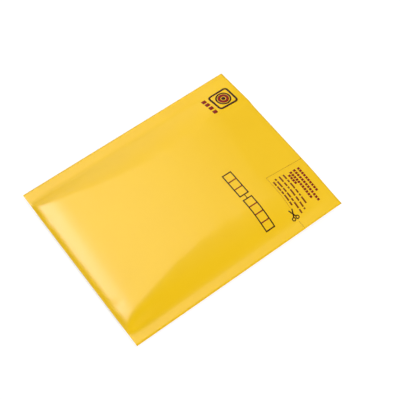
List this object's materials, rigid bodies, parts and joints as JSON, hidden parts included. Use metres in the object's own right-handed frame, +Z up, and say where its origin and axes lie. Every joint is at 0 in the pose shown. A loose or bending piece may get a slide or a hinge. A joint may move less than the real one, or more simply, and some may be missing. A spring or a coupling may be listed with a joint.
{
  "type": "cd mailing envelope",
  "caption": "Padded paper mailing envelope with a folded bottom, flat glued side seams, a bubble film lining and an open flap with a sealing strip under release paper.",
  "frame": {"origin": "middle of the rectangle that the envelope covers, on the surface it lies on", "axes": "+X across the envelope, +Y from the bottom fold towards the mouth and the flap, +Z up out of the front panel"},
  "size_m": [0.21, 0.267, 0.0186],
  "materials": {
    "yellow_paper": "smooth satin sheen",
    "bubble_film": "clear glossy film",
    "hot_melt_glue": "tacky gloss",
    "silicone_paper": "smooth satin"
  },
  "bodies": {
    "root": {"paper_cover": "yellow_paper", "bubble_lining": "bubble_film", "sealing_strip": "hot_melt_glue", "release_paper": "silicone_paper"}
  },
  "joints": []
}
